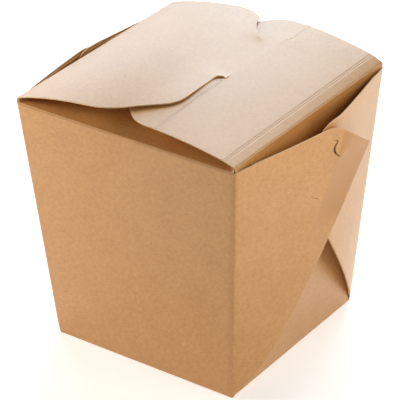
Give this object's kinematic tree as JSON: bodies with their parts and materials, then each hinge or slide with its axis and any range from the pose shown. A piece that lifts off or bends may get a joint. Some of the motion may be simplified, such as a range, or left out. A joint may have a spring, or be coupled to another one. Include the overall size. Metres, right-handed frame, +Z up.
{
  "type": "noodle takeaway box",
  "caption": "Tapered folded-board takeaway box, shut: plain front and back walls, folded corner flaps on both sides and two interlocked, slightly domed lids.",
  "frame": {"origin": "centre of the square base panel, on the surface that the box stands on", "axes": "+Z up from the base, +X towards the side wall that carries the lower lid, -Y towards the plain front wall"},
  "size_m": [0.11, 0.096, 0.1101],
  "materials": {
    "kraft_board": "matte"
  },
  "bodies": {
    "root": {"noodle_box": "kraft_board"}
  },
  "joints": []
}
